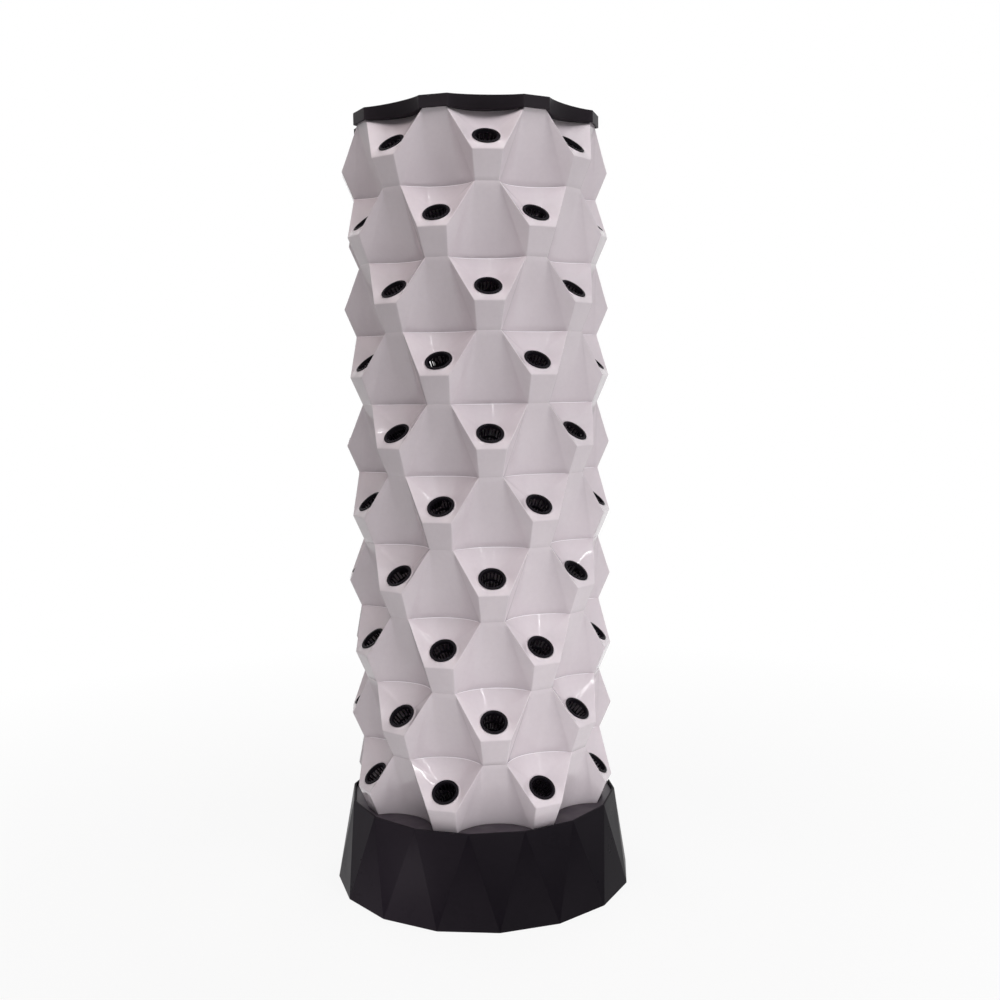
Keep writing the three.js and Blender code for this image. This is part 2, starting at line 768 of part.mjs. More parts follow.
addPiece('base_tank', baseTank(), blackPlastic);
addPiece('cable_grommet', cableGrommet(), rubber);
addPiece('tank_deck', tankDeck(), blackPlastic);
addPiece('pump_base_plate', pumpBasePlate(), rubber);
addPiece('pump_motor_housing', motorHousing(), blackPlastic);
addPiece('pump_volute', pumpVolute(), blackPlastic);
addPiece('pump_volute_cover', voluteCover(), blackPlastic);
addPiece('pump_impeller', pumpImpeller(), whitePlastic);
addPiece('pump_strainer', pumpStrainer(), blackPlastic);
for (let i = 0; i < riserCount; i += 1) {
  addPiece(`riser_coupling_${i + 1}`, riserCoupling(i), pipePlastic);
  addPiece(`riser_pipe_${i + 1}`, riserPipe(i), pipePlastic);
}
for (let i = 1; i <= layerCount; i += 1) {
  const label = String(i).padStart(2, '0');
  const bottom = stackStart + (i - 1) * layerPitch;
  const turn = (layerCount - i) * pocketStep / 2;
  const single = i > layerCount - singleCupLayers;
  addPiece(`planting_layer_${label}`, plantingLayer(turn, bottom, !single), whitePlastic);
  for (let k = 0; single && k < pocketCount; k += 1) {
    const cup = cupInPocket(turn + k * pocketStep, bottom + layerPitch - gap);
    addPiece(`net_cup_${label}_${k + 1}`, cup, cupPlastic);
  }
}
addPiece('drip_tray', dripTray(), whitePlastic);
addPiece('sprinkler_head', sprinklerHead(), pipePlastic);
addPiece('top_cover', topCover(), blackPlastic);

export default tower;
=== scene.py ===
"""Looks of the vertical planter tower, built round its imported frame.

Lengths are metres and turns are degrees. +Z is up, the front is -Y, and every piece lies
where the frame says. Each sub-assembly is a class that builds its own meshes.
"""

import logging
import math
from collections.abc import Iterable, Sequence
from dataclasses import dataclass
from enum import Enum

import bmesh
import bpy
from mathutils import Matrix, Vector


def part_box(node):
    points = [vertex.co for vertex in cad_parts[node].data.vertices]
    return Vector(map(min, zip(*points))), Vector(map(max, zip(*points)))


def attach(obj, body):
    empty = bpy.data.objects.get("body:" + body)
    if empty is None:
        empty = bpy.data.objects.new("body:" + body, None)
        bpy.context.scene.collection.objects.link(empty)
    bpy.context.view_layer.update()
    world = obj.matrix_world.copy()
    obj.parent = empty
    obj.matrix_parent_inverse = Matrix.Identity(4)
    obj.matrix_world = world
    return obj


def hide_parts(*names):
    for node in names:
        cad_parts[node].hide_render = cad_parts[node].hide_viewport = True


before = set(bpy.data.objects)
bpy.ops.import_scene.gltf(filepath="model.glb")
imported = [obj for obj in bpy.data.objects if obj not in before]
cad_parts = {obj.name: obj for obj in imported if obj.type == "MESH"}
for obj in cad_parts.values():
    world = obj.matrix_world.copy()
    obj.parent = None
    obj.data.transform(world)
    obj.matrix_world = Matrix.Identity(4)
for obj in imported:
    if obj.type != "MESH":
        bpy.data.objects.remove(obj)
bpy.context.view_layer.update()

LOG = logging.getLogger("planter_tower")
WELD = 1e-6  # points nearer than this are one point
GAP = 0.0003  # between pieces that touch, as in the frame
OVERRUN = 0.005  # how far a cutting tool runs past what it cuts
HIGHLIGHT_SLOT = 1  # number of the finish that paints a highlight on edges and rims, on a piece that has one
ROUNDING_FACES = 2  # faces across a rounded edge
WHITE = (1.0, 1.0, 1.0)

Colour = tuple[float, float, float]
Pair = tuple[float, float]


class Body(str, Enum):
    """Bodies that the pieces ride on, apart from each cup's own."""

    TOWER = "tower"
    TRAY = "tray_and_head"
    COVER = "cover"


class Join(Enum):
    """Ways to combine two solids."""

    CUT = "DIFFERENCE"
    ADD = "UNION"


class Value:
    """A node's output that takes part in Python expressions."""

    def __init__(self, shader: "Shader", socket: bpy.types.NodeSocket) -> None:
        """Wrap one output socket of a shader's node."""
        self.shader = shader
        self.socket = socket

    def _math(self, operation: str, first: object, second: object) -> "Value":
        """Add a Math node of two operands."""
        node = self.shader.add("ShaderNodeMath", {"operation": operation}, {0: first, 1: second})
        return Value(self.shader, node.outputs[0])

    def __add__(self, other: object) -> "Value":
        """Self plus other."""
        return self._math("ADD", self, other)

    __radd__ = __add__

    def __sub__(self, other: object) -> "Value":
        """Self minus other."""
        return self._math("SUBTRACT", self, other)

    def __rsub__(self, other: object) -> "Value":
        """Other minus self."""
        return self._math("SUBTRACT", other, self)

    def __mul__(self, other: object) -> "Value":
        """Self times other."""
        return self._math("MULTIPLY", self, other)

    __rmul__ = __mul__

    def clipped(self) -> "Value":
        """Self held between zero and one."""
        lowest = self._math("MAXIMUM", self, 0.0)
        return lowest._math("MINIMUM", lowest, 1.0)


class Shader:
    """Node tree of one material or world, built node by node."""

    def __init__(self, owner: bpy.types.Material | bpy.types.World) -> None:
        """Start with an empty tree.

        Args:
            owner: the material or world whose tree it is.
        """
        owner.use_nodes = True
        self.owner = owner
        self.tree = owner.node_tree
        self.tree.nodes.clear()
        self._place: Value | None = None

    def add(self, kind: str, settings: dict[str, object], inputs: dict[object, object]) -> bpy.types.Node:
        """Add a node.

        Args:
            kind: the node's type name.
            settings: properties, which are set first.
            inputs: value, Value or socket for each input, by name or number.

        Returns:
            The new node.
        """
        node = self.tree.nodes.new(kind)
        for name, setting in settings.items():
            setattr(node, name, setting)
        for key, given in inputs.items():
            if isinstance(given, Value):
                self.tree.links.new(given.socket, node.inputs[key])
            elif isinstance(given, bpy.types.NodeSocket):
                self.tree.links.new(given, node.inputs[key])
            else:
                node.inputs[key].default_value = given
        return node

    def value(self, node: bpy.types.Node, output: object = 0) -> Value:
        """Wrap one of a node's outputs."""
        return Value(self, node.outputs[output])

    def place(self) -> Value:
        """Place on the object, in metres, the same for all that rides with it."""
        if self._place is None:
            self._place = self.value(self.add("ShaderNodeTexCoord", {}, {}), "Object")
        return self._place

    def noise(self, scale: float, detail: float) -> Value:
        """Noise over the object, from about 0.3 to 0.7, with its lumps for each metre."""
        return self.value(self.add("ShaderNodeTexNoise", {}, {
            "Vector": self.place(), "Scale": scale, "Detail": detail}))

    def between(self, given: Value, low: float, high: float) -> Value:
        """Spread a value so that low becomes zero and high becomes one, and hold it there."""
        return self.value(self.add("ShaderNodeMapRange", {"clamp": True}, {
            "Value": given, "From Min": low, "From Max": high}))

    def blend(self, factor: Value, first: object, second: object) -> Value:
        """Mix two colours by a factor.

        Args:
            factor: zero for the first colour, one for the second.
            first: a colour, or a Value that gives one.
            second: the other colour, in either form.

        Returns:
            The mixed colour.
        """
        colours = [(*c, 1.0) if isinstance(c, tuple) else c for c in (first, second)]
        node = self.add("ShaderNodeMix", {"data_type": "RGBA"},
                        {0: factor, 6: colours[0], 7: colours[1]})
        return self.value(node, 2)

    def distance(self) -> Value:
        """Distance from the object's origin, in metres."""
        node = self.add("ShaderNodeVectorMath", {"operation": "LENGTH"}, {0: self.place()})
        return self.value(node, "Value")

    def finish(self, surface: bpy.types.NodeSocket) -> bpy.types.Material | bpy.types.World:
        """Lead a shader to the surface and return the tree's owner."""
        kind = "World" if isinstance(self.owner, bpy.types.World) else "Material"
        self.add(f"ShaderNodeOutput{kind}", {}, {"Surface": surface})
        return self.owner


MOTTLE_OCTAVES = 3.0  # each noise has this many finer octaves
SPECK_OCTAVES = 4.0
DUST_OCTAVES = 5.0
WAVE_OCTAVES = 1.6
PEEL_OCTAVES = 2.0
SPECK_FINENESS = 14  # how many times finer the specks are than the mottling
SPECK_SHARE = 0.25  # how much of the mottling they make
MOTTLE_ENDS = (0.36, 0.64)  # noise of the dark colour and of the light one
DUST_FINENESS = 4  # how many times finer the patches of dust are than the mottling
DUST_ENDS = (0.42, 0.68)  # noise without dust and with the most
DUST_FACING = (-0.2, 0.9)  # upward part of the normal, from the least dust to the most
DUST_LEAST = 0.3  # share of the dust that lies on every face
HIGHLIGHT_ENDS = (0.515, 0.56)  # pointiness of an edge with no painted highlight and of one with the full painted highlight


@dataclass(frozen=True)
class Moulded:
    """Moulded plastic or rubber: slow mottling, orange peel, waviness, dust and painted edge highlights.

    The light and dark colours are the two ends of the mottling. Heights are metres.
    """

    name: str
    light: Colour
    dark: Colour
    roughness: float
    roughness_spread: float = 0.08
    mottle_scale: float = 9.0
    peel_scale: float = 600.0
    peel_height: float = 0.00003
    wave_scale: float = 22.0
    wave_height: float = 0.0
    specular: float = 0.5
    dust: float = 0.0
    dust_colour: Colour = (0.42, 0.38, 0.36)
    dust_roughness: float = 0.35
    # the next two fields paint a highlight on sharp edges: its strength and its colour
    edge: float = 0.0
    edge_highlight_colour: Colour = (0.5, 0.5, 0.5)

    def material(self) -> bpy.types.Material:
        """Build the material, or return it if it was built before."""
        made = bpy.data.materials.get(self.name)
        return made or self._build(Shader(bpy.data.materials.new(self.name)))

    def _build(self, shader: Shader) -> bpy.types.Material:
        """Build the material's nodes.

        Args:
            shader: the material's tree.

        Returns:
            The material.
        """
        slow = shader.noise(self.mottle_scale, MOTTLE_OCTAVES)
        fine = shader.noise(self.mottle_scale * SPECK_FINENESS, SPECK_OCTAVES)
        mottle = shader.between(slow * (1 - SPECK_SHARE) + fine * SPECK_SHARE, *MOTTLE_ENDS)
        colour = shader.blend(mottle, self.dark, self.light)
        rough = (mottle - 0.5) * self.roughness_spread + self.roughness
        geometry = shader.add("ShaderNodeNewGeometry", {}, {})
        if self.dust:
            up = shader.value(shader.add("ShaderNodeSeparateXYZ", {}, {0: geometry.outputs["Normal"]}), 2)
            grain = shader.noise(self.mottle_scale * DUST_FINENESS, DUST_OCTAVES)
            lying = shader.between(up, *DUST_FACING) * (1 - DUST_LEAST) + DUST_LEAST
            settled = lying * shader.between(grain, *DUST_ENDS) * self.dust
            colour = shader.blend(settled, colour, self.dust_colour)
            rough = rough + settled * self.dust_roughness
        # painted highlight: sharp edges are blended towards a lighter colour
        if self.edge:
            sharp = shader.between(shader.value(geometry, "Pointiness"), *HIGHLIGHT_ENDS)
            colour = shader.blend(sharp * self.edge, colour, self.edge_highlight_colour)
        bump = shader.add("ShaderNodeBump", {}, {
            "Strength": 1.0, "Distance": 1.0, "Height": self._height(shader)})
        surface = shader.add("ShaderNodeBsdfPrincipled", {}, {
            "Base Color": colour, "Roughness": rough.clipped(), "Normal": bump.outputs[0],
            "Specular IOR Level": self.specular})
        return shader.finish(surface.outputs[0])

    def _height(self, shader: Shader) -> Value:
        """Height of the surface from its orange peel and its waviness.

        Args:
            shader: the material's tree.

        Returns:
            The height in metres.
        """
        height = shader.noise(self.peel_scale, PEEL_OCTAVES) * self.peel_height
        if self.wave_height:
            height = height + shader.noise(self.wave_scale, WAVE_OCTAVES) * self.wave_height
        return height


class Finish(Enum):
    """Every finish on the tower."""

    LAYER = Moulded("gloss_lilac_white", (0.74, 0.67, 0.71), (0.69, 0.62, 0.66), 0.07,
                    roughness_spread=0.03, wave_height=0.0006, wave_scale=26.0, dust=0.10,
                    dust_colour=(0.55, 0.50, 0.50), dust_roughness=0.15, peel_height=0.000003)
    # near-white finish on the rim beads and rounded folds: a painted highlight
    LAYER_HIGHLIGHT = Moulded("painted_highlight_lilac", (0.98, 0.94, 0.98), (0.94, 0.90, 0.94), 0.10,
                         peel_height=0.000003)
    # the tank gets a painted highlight on its sharp edges
    TANK = Moulded("gloss_black_tank", (0.0070, 0.0055, 0.0080), (0.0055, 0.0043, 0.0065), 0.30,
                   specular=0.015, wave_height=0.0004, wave_scale=10.0, peel_height=0.000008,
                   edge=0.35, edge_highlight_colour=(0.05, 0.045, 0.05))
    DECK = Moulded("satin_grey_deck", (0.044, 0.034, 0.046), (0.032, 0.024, 0.034), 0.42,
                   specular=0.3, dust=0.08)
    # the cover gets a painted highlight on its sharp edges
    COVER = Moulded("satin_black_cover", (0.0150, 0.0115, 0.0150), (0.0120, 0.0090, 0.0120), 0.42,
                    specular=0.06, edge=0.3, edge_highlight_colour=(0.05, 0.045, 0.05))
    CUP = Moulded("matt_black_cup", (0.008, 0.006, 0.009), (0.005, 0.004, 0.006), 0.62,
                  specular=0.12, peel_scale=900.0)
    PIPE = Moulded("smooth_white_pipe", (0.72, 0.72, 0.70), (0.64, 0.64, 0.62), 0.3, dust=0.1)
    TRAY = Moulded("gloss_white_tray", (0.72, 0.67, 0.70), (0.66, 0.61, 0.64), 0.28, dust=0.12)
    PUMP = Moulded("matt_black_pump", (0.030, 0.030, 0.033), (0.020, 0.020, 0.023), 0.5, dust=0.06)
    IMPELLER = Moulded("matt_white_impeller", (0.70, 0.69, 0.66), (0.62, 0.61, 0.58), 0.42)
    RUBBER = Moulded("dark_rubber", (0.022, 0.021, 0.021), (0.015, 0.014, 0.014), 0.75,
                     peel_height=0.0001, specular=0.3)


def at(turn: float, reach: float, side: float, height: float) -> Vector:
    """Place a point.

    Args:
        turn: degrees from the front, growing towards +X.
        reach: distance out from the tower's axis.
        side: distance to the right of that direction, seen from outside.
        height: height above the floor.

    Returns:
        The point.
    """
    angle = math.radians(turn)
    return Vector((
        reach * math.sin(angle) + side * math.cos(angle),
        side * math.sin(angle) - reach * math.cos(angle),
        height,
    ))


def ends(turn: float, reach: float, width: float, height: float) -> tuple[Vector, Vector]:
    """Left and right end of a level line that lies square across a turn."""
    return tuple(at(turn, reach, side, height) for side in (-width / 2, width / 2))


def shares(steps: int) -> list[float]:
    """Even shares from zero to one."""
    return [i / steps for i in range(steps + 1)]


def line(start: Vector, end: Vector, steps: int) -> list[Vector]:
    """Even points from start to end."""
    return [start.lerp(end, share) for share in shares(steps)]


class Skin:
    """Faces of a mesh, gathered patch by patch, with equal points welded."""

    def __init__(self) -> None:
        """Start with no faces."""
        self.points: list[Vector] = []
        self.faces: list[list[int]] = []
        self.crisp: set[frozenset[int]] = set()
        # faces that get the near-white finish of the painted highlight
        self.painted_highlight: set[int] = set()
        self._known: dict[tuple[int, ...], int] = {}

    def corner(self, place: Vector) -> int:
        """Find the point at a place, or add it.

        Args:
            place: the place.

        Returns:
            The point's number.
        """
        key = tuple(round(v / WELD) for v in place)
        if key not in self._known:
            self._known[key] = len(self.points)
            self.points.append(place)
        return self._known[key]

    def face(self, places: Iterable[Vector], painted_highlight: bool = False) -> None:
        """Add one face, leaving out corners that coincide.

        Args:
            places: the face's corners in order.
            painted_highlight: whether the face gets the finish of the painted edge highlight.
        """
        corners: list[int] = []
        for corner in (self.corner(place) for place in places):
            if corner not in corners:
                corners.append(corner)
        if len(corners) > 2:
            if painted_highlight:
                self.painted_highlight.add(len(self.faces))
            self.faces.append(corners)

    def grid(self, rows: Sequence[Sequence[Vector]], closed: bool = False, painted_highlight: bool = False) -> None:
        """Add the faces between rows of points.

        Args:
            rows: rows of equal length.
            closed: whether each row runs round and ends where it starts.
            painted_highlight: whether the faces get the finish of the painted edge highlight.
        """
        for low, high in zip(rows, rows[1:]):
            count = len(low)
            for i in range(count if closed else count - 1):
                k = (i + 1) % count
                self.face((low[i], low[k], high[k], high[i]), painted_highlight)

    def sharpen(self, places: Sequence[Vector]) -> None:
        """Mark a line of edges that gets a rounded bevel."""
        corners = [self.corner(place) for place in places]
        self.crisp.update(frozenset(pair) for pair in zip(corners, corners[1:]) if pair[0] != pair[1])

    def build(self, name: str) -> bpy.types.Object:
        """Make the object, its faces turned outwards.

        Args:
            name: the object's name.

        Returns:
            The object, linked to the scene.
        """
        mesh = bpy.data.meshes.new(name)
        mesh.from_pydata(self.points, [], self.faces)
        if self.crisp:
            weights = mesh.attributes.new("bevel_weight_edge", "FLOAT", "EDGE")
            for edge in mesh.edges:
                weights.data[edge.index].value = float(frozenset(edge.vertices) in self.crisp)
        # faces of the painted highlight take the slot of its near-white finish
        for number in self.painted_highlight:
            mesh.polygons[number].material_index = HIGHLIGHT_SLOT
        work = bmesh.new()
        work.from_mesh(mesh)
        bmesh.ops.recalc_face_normals(work, faces=work.faces)
        work.to_mesh(mesh)
        work.free()
        mesh.shade_smooth()
        return placed(name, mesh)


def placed(name: str, data: bpy.types.ID) -> bpy.types.Object:
    """Make an object of some data and link it to the scene."""
    made = bpy.data.objects.new(name, data)
    bpy.context.scene.collection.objects.link(made)
    return made


def lathe(name: str, profile: Sequence[Pair], sides: int, loop: bool = False) -> bpy.types.Object:
    """Turn a profile of radius and height round +Z.

    Args:
        name: the object's name.
        profile: pairs of radius and height, from the foot of the axis outwards and back to it.
        sides: how many sides the round shape has.
        loop: whether the profile closes on its first pair, as a tube's does.

    Returns:
        The object.
    """
    skin = Skin()
    pairs = [*profile, profile[0]] if loop else list(profile)
    rows = [[at(k * 360 / sides, radius, 0.0, height) for k in range(sides)] for radius, height in pairs]
    skin.grid(rows, closed=True)
    return skin.build(name)


def plug(name: str, radius: float, low: float, high: float, sides: int) -> bpy.types.Object:
    """Make a straight round solid on the axis, to cut a hole with."""
    return lathe(name, [(0.0, low), (radius, low), (radius, high), (0.0, high)], sides)


def loft(name: str, rows: Sequence[Sequence[Vector]]) -> bpy.types.Object:
    """Close a stack of outlines into a solid, with a flat face at its foot and its top.

    Args:
        name: the object's name.
        rows: outlines of equal length, from the foot up.

    Returns:
        The object.
    """
    skin = Skin()
    skin.grid(rows, closed=True)
    skin.face(rows[0])
    skin.face(rows[-1])
    return skin.build(name)


def prism(name: str, outline: Sequence[Vector], low: float, high: float) -> bpy.types.Object:
    """Raise a plan outline into a straight solid."""
    return loft(name, [[Vector((p.x, p.y, height)) for p in outline] for height in (low, high)])


def modify(piece: bpy.types.Object, name: str, kind: str, **settings: object) -> None:
    """Add a modifier to a piece and give it its settings."""
    modifier = piece.modifiers.new(name, kind)
    for key, setting in settings.items():
        setattr(modifier, key, setting)


def combine(base: bpy.types.Object, tools: Iterable[bpy.types.Object], join: Join) -> None:
    """Cut tools out of a solid, or add them to it.

    Args:
        base: the solid that stays.
        tools: closed solids, which are used up.
        join: whether they cut or add.
    """
    for tool in tools:
        modify(base, "combine", "BOOLEAN", operation=join.value, solver="EXACT", object=tool)
        settle(base)
        bpy.data.objects.remove(tool)


def settle(piece: bpy.types.Object) -> None:
    """Make the result of a piece's modifiers its mesh.

    Args:
        piece: the piece, which loses its modifiers.
    """
    graph = bpy.context.evaluated_depsgraph_get()
    made = bpy.data.meshes.new_from_object(piece.evaluated_get(graph), depsgraph=graph)
    piece.modifiers.clear()
    piece.data = made


def moved(piece: bpy.types.Object, matrix: Matrix) -> bpy.types.Object:
    """Move a piece by moving its mesh."""
    piece.data.transform(matrix)
    return piece


def round_edges(piece: bpy.types.Object, width: float, angle: float) -> None:
    """Round every edge that folds by more than an angle, and shade the flats flat.

    Args:
        piece: the piece whose edges are rounded.
        width: width of the rounding.
        angle: least fold in degrees.
    """
    piece.data.shade_smooth()
    modify(piece, "rounded_edges", "BEVEL", limit_method="ANGLE", angle_limit=math.radians(angle),
           width=width, segments=ROUNDING_FACES, use_clamp_overlap=True)
    modify(piece, "flat_faces", "WEIGHTED_NORMAL")


def crease(piece: bpy.types.Object, angle: float) -> None:
    """Shade the folds of more than an angle in degrees as sharp ones."""
    piece.data.set_sharp_from_angle(angle=math.radians(angle))


def dress(piece: bpy.types.Object, finish: Finish, body: str,
          nodes: Sequence[str], edge: Finish | None = None) -> None:
    """Give a piece its finish and its body, and let it stand for CAD nodes.

    Args:
        piece: the finished piece.
        finish: its finish.
        body: the body that it rides on.
        nodes: CAD nodes that it stands for.
        edge: finish of the painted highlight on its edges, if it has one.
    """
    for each in (finish, edge):
        if each:
            piece.data.materials.append(each.value.material())
    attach(piece, body)
    if nodes:
        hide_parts(*nodes)
    LOG.info("%s rides on %s", piece.name, body)


@dataclass(frozen=True)
class Seam:
    """The scalloped outline that the layers, the tray and the cover share."""

    pockets: int = 8
    corner_reach: float = 0.244
    edge_width: float = 0.045
    depth: float = 0.037
    steps: int = 24

    @property
    def step(self) -> float:
        """Degrees from one pocket to the next."""
        return 360 / self.pockets

    @property
    def edge_reach(self) -> float:
        """Distance from the axis to a straight edge."""
        return math.sqrt(self.corner_reach ** 2 - (self.edge_width / 2) ** 2)

    def scallop(self, turn: float, height: float, inset: float = 0.0) -> list[Vector]:
        """Points of one scallop, from left to right.

        Args:
            turn: the scallop's middle.
            height: height of the points.
            inset: how far the outline is set back.

        Returns:
            The points, the first and last on the straight edges beside it.
        """
        half_angle = math.pi / self.pockets - math.asin(self.edge_width / 2 / self.corner_reach)
        half_chord = self.corner_reach * math.sin(half_angle)
        bend = (half_chord ** 2 + self.depth ** 2) / (2 * self.depth)
        middle = self.corner_reach * math.cos(half_angle) - self.depth + bend
        radius = bend + inset
        flat = self.edge_reach - inset
        half = math.radians(self.step / 2)
        along = middle * math.sin(half) - math.sqrt(radius ** 2 - (middle * math.cos(half) - flat) ** 2)
        end = math.asin((flat * math.sin(half) - along * math.cos(half)) / radius)
        angles = [(2 * share - 1) * end for share in shares(self.steps)]
        return [at(turn, middle - radius * math.cos(a), radius * math.sin(a), height) for a in angles]

    def outline(self, turn: float, height: float = 0.0, inset: float = 0.0) -> list[Vector]:
        """The whole outline, starting with the scallop at a turn."""
        turns = [turn + i * self.step for i in range(self.pockets)]
        return [point for here in turns for point in self.scallop(here, height, inset)]


@dataclass(frozen=True)
class Hole:
    """A slanted planting hole."""

    reach: float = 0.240
    drop: float = 0.0548
    tilt: float = 40.4
    radius: float = 0.024
    depth: float = 0.005

    def ring(self, turn: float, top: float, radius: float, lift: float,
             angles: Iterable[float]) -> list[Vector]:
        """Points of a ring round the hole's axis.

        Args:
            turn: the pocket's turn.
            top: height of the layer's top.
            radius: the ring's radius.
            lift: its distance along the axis, outwards.
            angles: radians round the axis, from the right side upwards.

        Returns:
            The points.
        """
        lean = math.radians(self.tilt)
        made = []
        for angle in angles:
            across, up = radius * math.cos(angle), radius * math.sin(angle)
            made.append(at(turn, self.reach - up * math.cos(lean) + lift * math.sin(lean), across,
                           top - self.drop + up * math.sin(lean) + lift * math.cos(lean)))
        return made

    def frame_at(self, turn: float, top: float) -> Matrix:
        """Matrix that carries a piece made along +Z onto the hole's axis."""
        spot = at(turn, self.reach, 0.0, top - self.drop)
        spin = Matrix.Rotation(math.radians(turn), 4, "Z")
        return Matrix.Translation(spot) @ spin @ Matrix.Rotation(math.radians(self.tilt), 4, "X")


@dataclass
class PlantingLayers:
    """Ten stacked layers, each a thin shell with eight scooped pockets."""

    seam: Seam = Seam()
    hole: Hole = Hole()
    count: int = 10
    wall: float = 0.003
    lip_reach: float = 0.2655
    lip_drop: float = 0.082
    lip_width: float = 0.057
    bead: tuple[Pair, ...] = (
        (0.0291, 0.0), (0.0289, 0.0006), (0.0284, 0.0010),
        (0.0275, 0.0010), (0.0269, 0.0005), (0.0267, 0.0))
    strip_share: float = 0.30
    side_steps: int = 12
    lip_steps: int = 8
    chin_steps: int = 6
    scoop_steps: int = 3
    fold_width: float = 0.0018
    fold_faces: int = 3
    rim_bead: Pair = (0.0009, 0.0006)
    rim_bead_height: float = 0.0018
    plain_columns: int = 2

    def span(self, number: int) -> Pair:
        """Heights of the seams under and over a layer."""
        tops = [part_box(f"planting_layer_{i:02d}")[1].z for i in range(1, self.count + 1)]
        pitch = (tops[-1] - tops[0]) / (self.count - 1)
        return tops[number - 1] - pitch, tops[number - 1]

    def turn(self, number: int) -> float:
        """Turn of a layer's first pocket."""
        return (self.count - number) * self.seam.step / 2

    def build(self) -> None:
        """Build every layer."""
        for number in range(1, self.count + 1):
            self._shell(number)

    def _shell(self, number: int) -> None:
        """Build one layer's shell.

        Args:
            number: the layer's number, counted from the lowest.
        """
        skin = Skin()
        bottom, top = self.span(number)
        for k in range(self.seam.pockets):
            turn = self.turn(number) + k * self.seam.step
            self._pocket(skin, turn, top)
            self._chin(skin, turn, bottom, top)
            self._valley(skin, turn + self.seam.step / 2, bottom, top)
        piece = skin.build(f"shell_of_layer_{number:02d}")
        outermost = max(piece.data.polygons, key=lambda face: face.center.xy.length)
        if outermost.normal.xy.dot(outermost.center.xy) < 0:
            piece.data.flip_normals()
        self._thicken(piece, bottom, top)
        # the second finish is the painted highlight on the folds and rim beads
        dress(piece, Finish.LAYER, Body.TOWER.value,
              [f"planting_layer_{number:02d}"], Finish.LAYER_HIGHLIGHT)

    def _lip(self, turn: float, top: float) -> tuple[Vector, Vector]:
        """Left and right corner of a pocket's lip."""
        return ends(turn, self.lip_reach, self.lip_width, top - self.lip_drop)

    def _pocket(self, skin: Skin, turn: float, top: float) -> None:
        """Add the scooped face of a pocket and the bead round its hole.

        Args:
            skin: the shell's faces.
            turn: the pocket's turn.
            top: height of the seam above the layer.
        """
        rim = self.seam.scallop(turn, top)
        left, right = self._lip(turn, top)
        sides = [line(rim[-1], right, self.side_steps), line(left, rim[0], self.side_steps)]
        lip = line(right, left, self.lip_steps)
        loop = [*rim[:-1], *sides[0][:-1], *lip[:-1], *sides[1][:-1]]
        across = at(turn, 0.0, 1.0, 0.0)
        squash = math.sin(math.radians(self.hole.tilt))
        angles = []
        for point in loop:
            up, side = point.z - (top - self.hole.drop), point.dot(across)
            angles.append(math.atan2(up / squash, side))
        rings = [self.hole.ring(turn, top, radius, lift, angles) for radius, lift in self.bead]
        proud, drop = self.rim_bead
        rolled = self.seam.scallop(turn, top - drop, -proud)
        crest, bulge = list(loop), list(loop)
        for i in range(self.plain_columns, len(rim) - self.plain_columns):
            bulge[i] = rolled[i]
            loop[i] = rim[i] + (rings[0][i] - rim[i]).normalized() * self.rim_bead_height
        scoop = [[outer.lerp(inner, s) for outer, inner in zip(loop, rings[0])]
                 for s in shares(self.scoop_steps)]
        hole = [self.hole.ring(turn, top, self.hole.radius, -depth, angles)
                for depth in (0.0, self.hole.depth)]
        # the rolled rim bead takes the near-white finish, a painted highlight along the pocket's top edge
        skin.grid([crest, bulge, scoop[0]], closed=True, painted_highlight=True)
        skin.grid([*scoop, *rings[1:], *hole], closed=True)
        for edge in (*sides, lip):
            skin.sharpen(edge)

    def _chin(self, skin: Skin, turn: float, bottom: float, top: float) -> None:
        """Add the flat face under a pocket's lip.

        Args:
            skin: the shell's faces.
            turn: the pocket's turn.
            bottom: height of the seam under the layer.
            top: height of the seam above it.
        """
        lip = self._lip(turn, top)
        foot = ends(turn, self.seam.edge_reach, self.seam.edge_width, bottom)
        edges = [line(lip[i], foot[i], self.chin_steps) for i in (0, 1)]
        skin.grid([line(a, b, self.lip_steps) for a, b in zip(*edges)])
        for edge in edges:
            skin.sharpen(edge)

    def _valley(self, skin: Skin, turn: float, bottom: float, top: float) -> None:
        """Add the folded face between two pockets.

        It is ruled from the narrow edge at the top to the scallop below, so its two folds are
        sharp at the top and fade out at the scallop. A flat triangle joins it to each pocket.

        Args:
            skin: the shell's faces.
            turn: the valley's turn.
            bottom: height of the seam under the layer.
            top: height of the seam above it.
        """
        corners = ends(turn, self.seam.edge_reach, self.seam.edge_width, top)
        lips = [self._lip(turn + side * self.seam.step / 2, top)[i] for side, i in ((-1, 1), (1, 0))]
        arc = self.seam.scallop(turn, bottom)
        base = []
        for point, share in zip(arc, shares(len(arc) - 1)):
            along = ((2 * share - 1) / self.strip_share + 1) / 2
            base.append((point, min(max(along, 0.0), 1.0)))
        skin.grid([[corners[0].lerp(corners[1], along).lerp(point, s) for point, along in base]
                   for s in shares(self.side_steps)])
        for corner, lip, end in zip(corners, lips, (arc[0], arc[-1])):
            skin.face([*line(corner, lip, self.side_steps), *line(lip, end, self.chin_steps),
                       *line(end, corner, self.side_steps)])

    def _thicken(self, piece: bpy.types.Object, bottom: float, top: float) -> None:
        """Round the shell's folds, give it its wall and keep its rims between two seams.

        Args:
            piece: the shell.
            bottom: height of the seam under the layer.
            top: height of the seam above it.
        """
        # the rounded folds take the near-white finish, a painted highlight along each fold
        modify(piece, "rounded_folds", "BEVEL", limit_method="WEIGHT", width=self.fold_width,
               segments=self.fold_faces, material=HIGHLIGHT_SLOT, use_clamp_overlap=False)
        modify(piece, "wall", "SOLIDIFY", thickness=self.wall, offset=-1.0)
        settle(piece)
        for vertex in piece.data.vertices:
            vertex.co.z = min(max(vertex.co.z, bottom), top)
        modify(piece, "flat_faces", "WEIGHTED_NORMAL")


